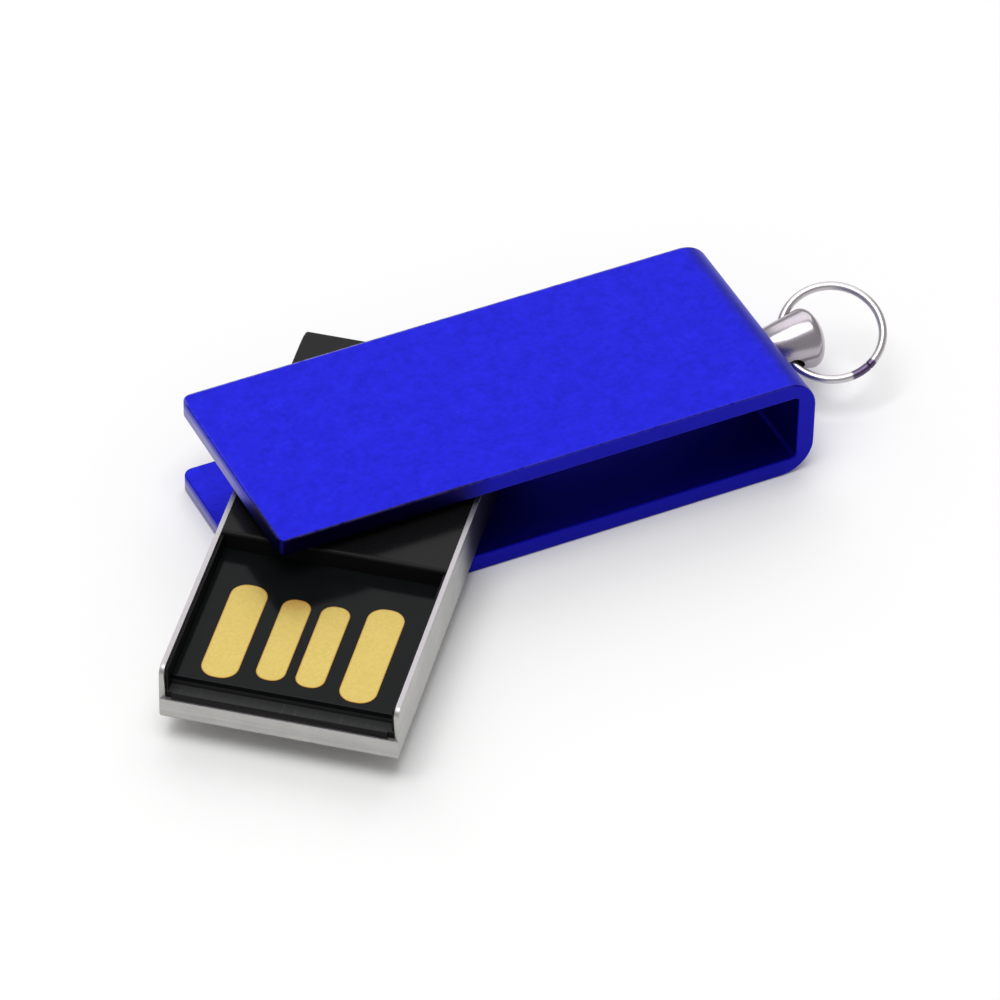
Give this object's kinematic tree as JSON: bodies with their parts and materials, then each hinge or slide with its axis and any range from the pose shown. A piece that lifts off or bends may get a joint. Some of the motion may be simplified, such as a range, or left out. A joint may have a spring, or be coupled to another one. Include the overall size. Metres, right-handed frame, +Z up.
{
  "type": "usb flash drive",
  "caption": "Small swivel USB flash drive: half-height metal plug turning inside a U-shaped blue cover, with a stud and jump ring.",
  "frame": {"origin": "foot of the swivel axis on the cover's lower outer face", "axes": "+X along the cover towards its closed end and the ring stud, +Z up out of the cover's upper plate; the drive stands swung out by its swivel"},
  "size_m": [0.0452, 0.0279, 0.006],
  "materials": {
    "anodised_blue": "fine bead-blasted blue anodised aluminium",
    "pressed_steel": "bright pressed stainless steel, finely grained",
    "black_plastic": "smooth moulded black plastic",
    "adhesive": "clear pressure-sensitive adhesive film",
    "solder_mask": "black solder mask over a thin circuit board",
    "contact_gold": "gold-plated copper",
    "moulding_black": "black epoxy moulding compound",
    "die_attach": "die-attach film",
    "silicon": "polished silicon",
    "bond_gold": "fine gold bond wire",
    "capacitor_ceramic": "ceramic chip capacitor",
    "resistor_body": "chip resistor",
    "stud_chrome": "chrome-plated turned steel",
    "ring_chrome": "nickel-plated round steel wire"
  },
  "bodies": {
    "cover": {"swivel_cover": "anodised_blue"},
    "drive": {"plug_tray": "pressed_steel", "chip_carrier": "black_plastic", "rear_cap": "black_plastic", "module_adhesive": "adhesive", "chip_substrate": "solder_mask", "contact_vbus": "contact_gold", "contact_data_minus": "contact_gold", "contact_data_plus": "contact_gold", "contact_ground": "contact_gold", "test_pads": "contact_gold", "controller_die_film": "die_attach", "controller_die": "silicon", "flash_die_film_first": "die_attach", "flash_die_first": "silicon", "flash_die_film_second": "die_attach", "flash_die_second": "silicon", "controller_bond_wires": "bond_gold", "flash_bond_wires": "bond_gold", "capacitors": "capacitor_ceramic", "resistors": "resistor_body", "moulding_compound": "moulding_black"},
    "stud": {"ring_stud": "stud_chrome"},
    "ring": {"key_ring": "ring_chrome"}
  },
  "joints": [
    {"name": "cover_swivel", "type": "hinge", "parent": "cover", "child": "drive", "pos_m": [0, 0, 0.003], "axis": [0, 0, 1], "continuous": true},
    {"name": "stud_spin", "type": "hinge", "parent": "cover", "child": "stud", "pos_m": [0.0214, 0, 0.003], "axis": [1, 0, 0], "continuous": true},
    {"name": "ring_swing", "type": "hinge", "parent": "stud", "child": "ring", "pos_m": [0.0235, 0, 0.003], "axis": [0.1357, 0.9015, 0.4109], "range_deg": [-90, 105]}
  ]
}
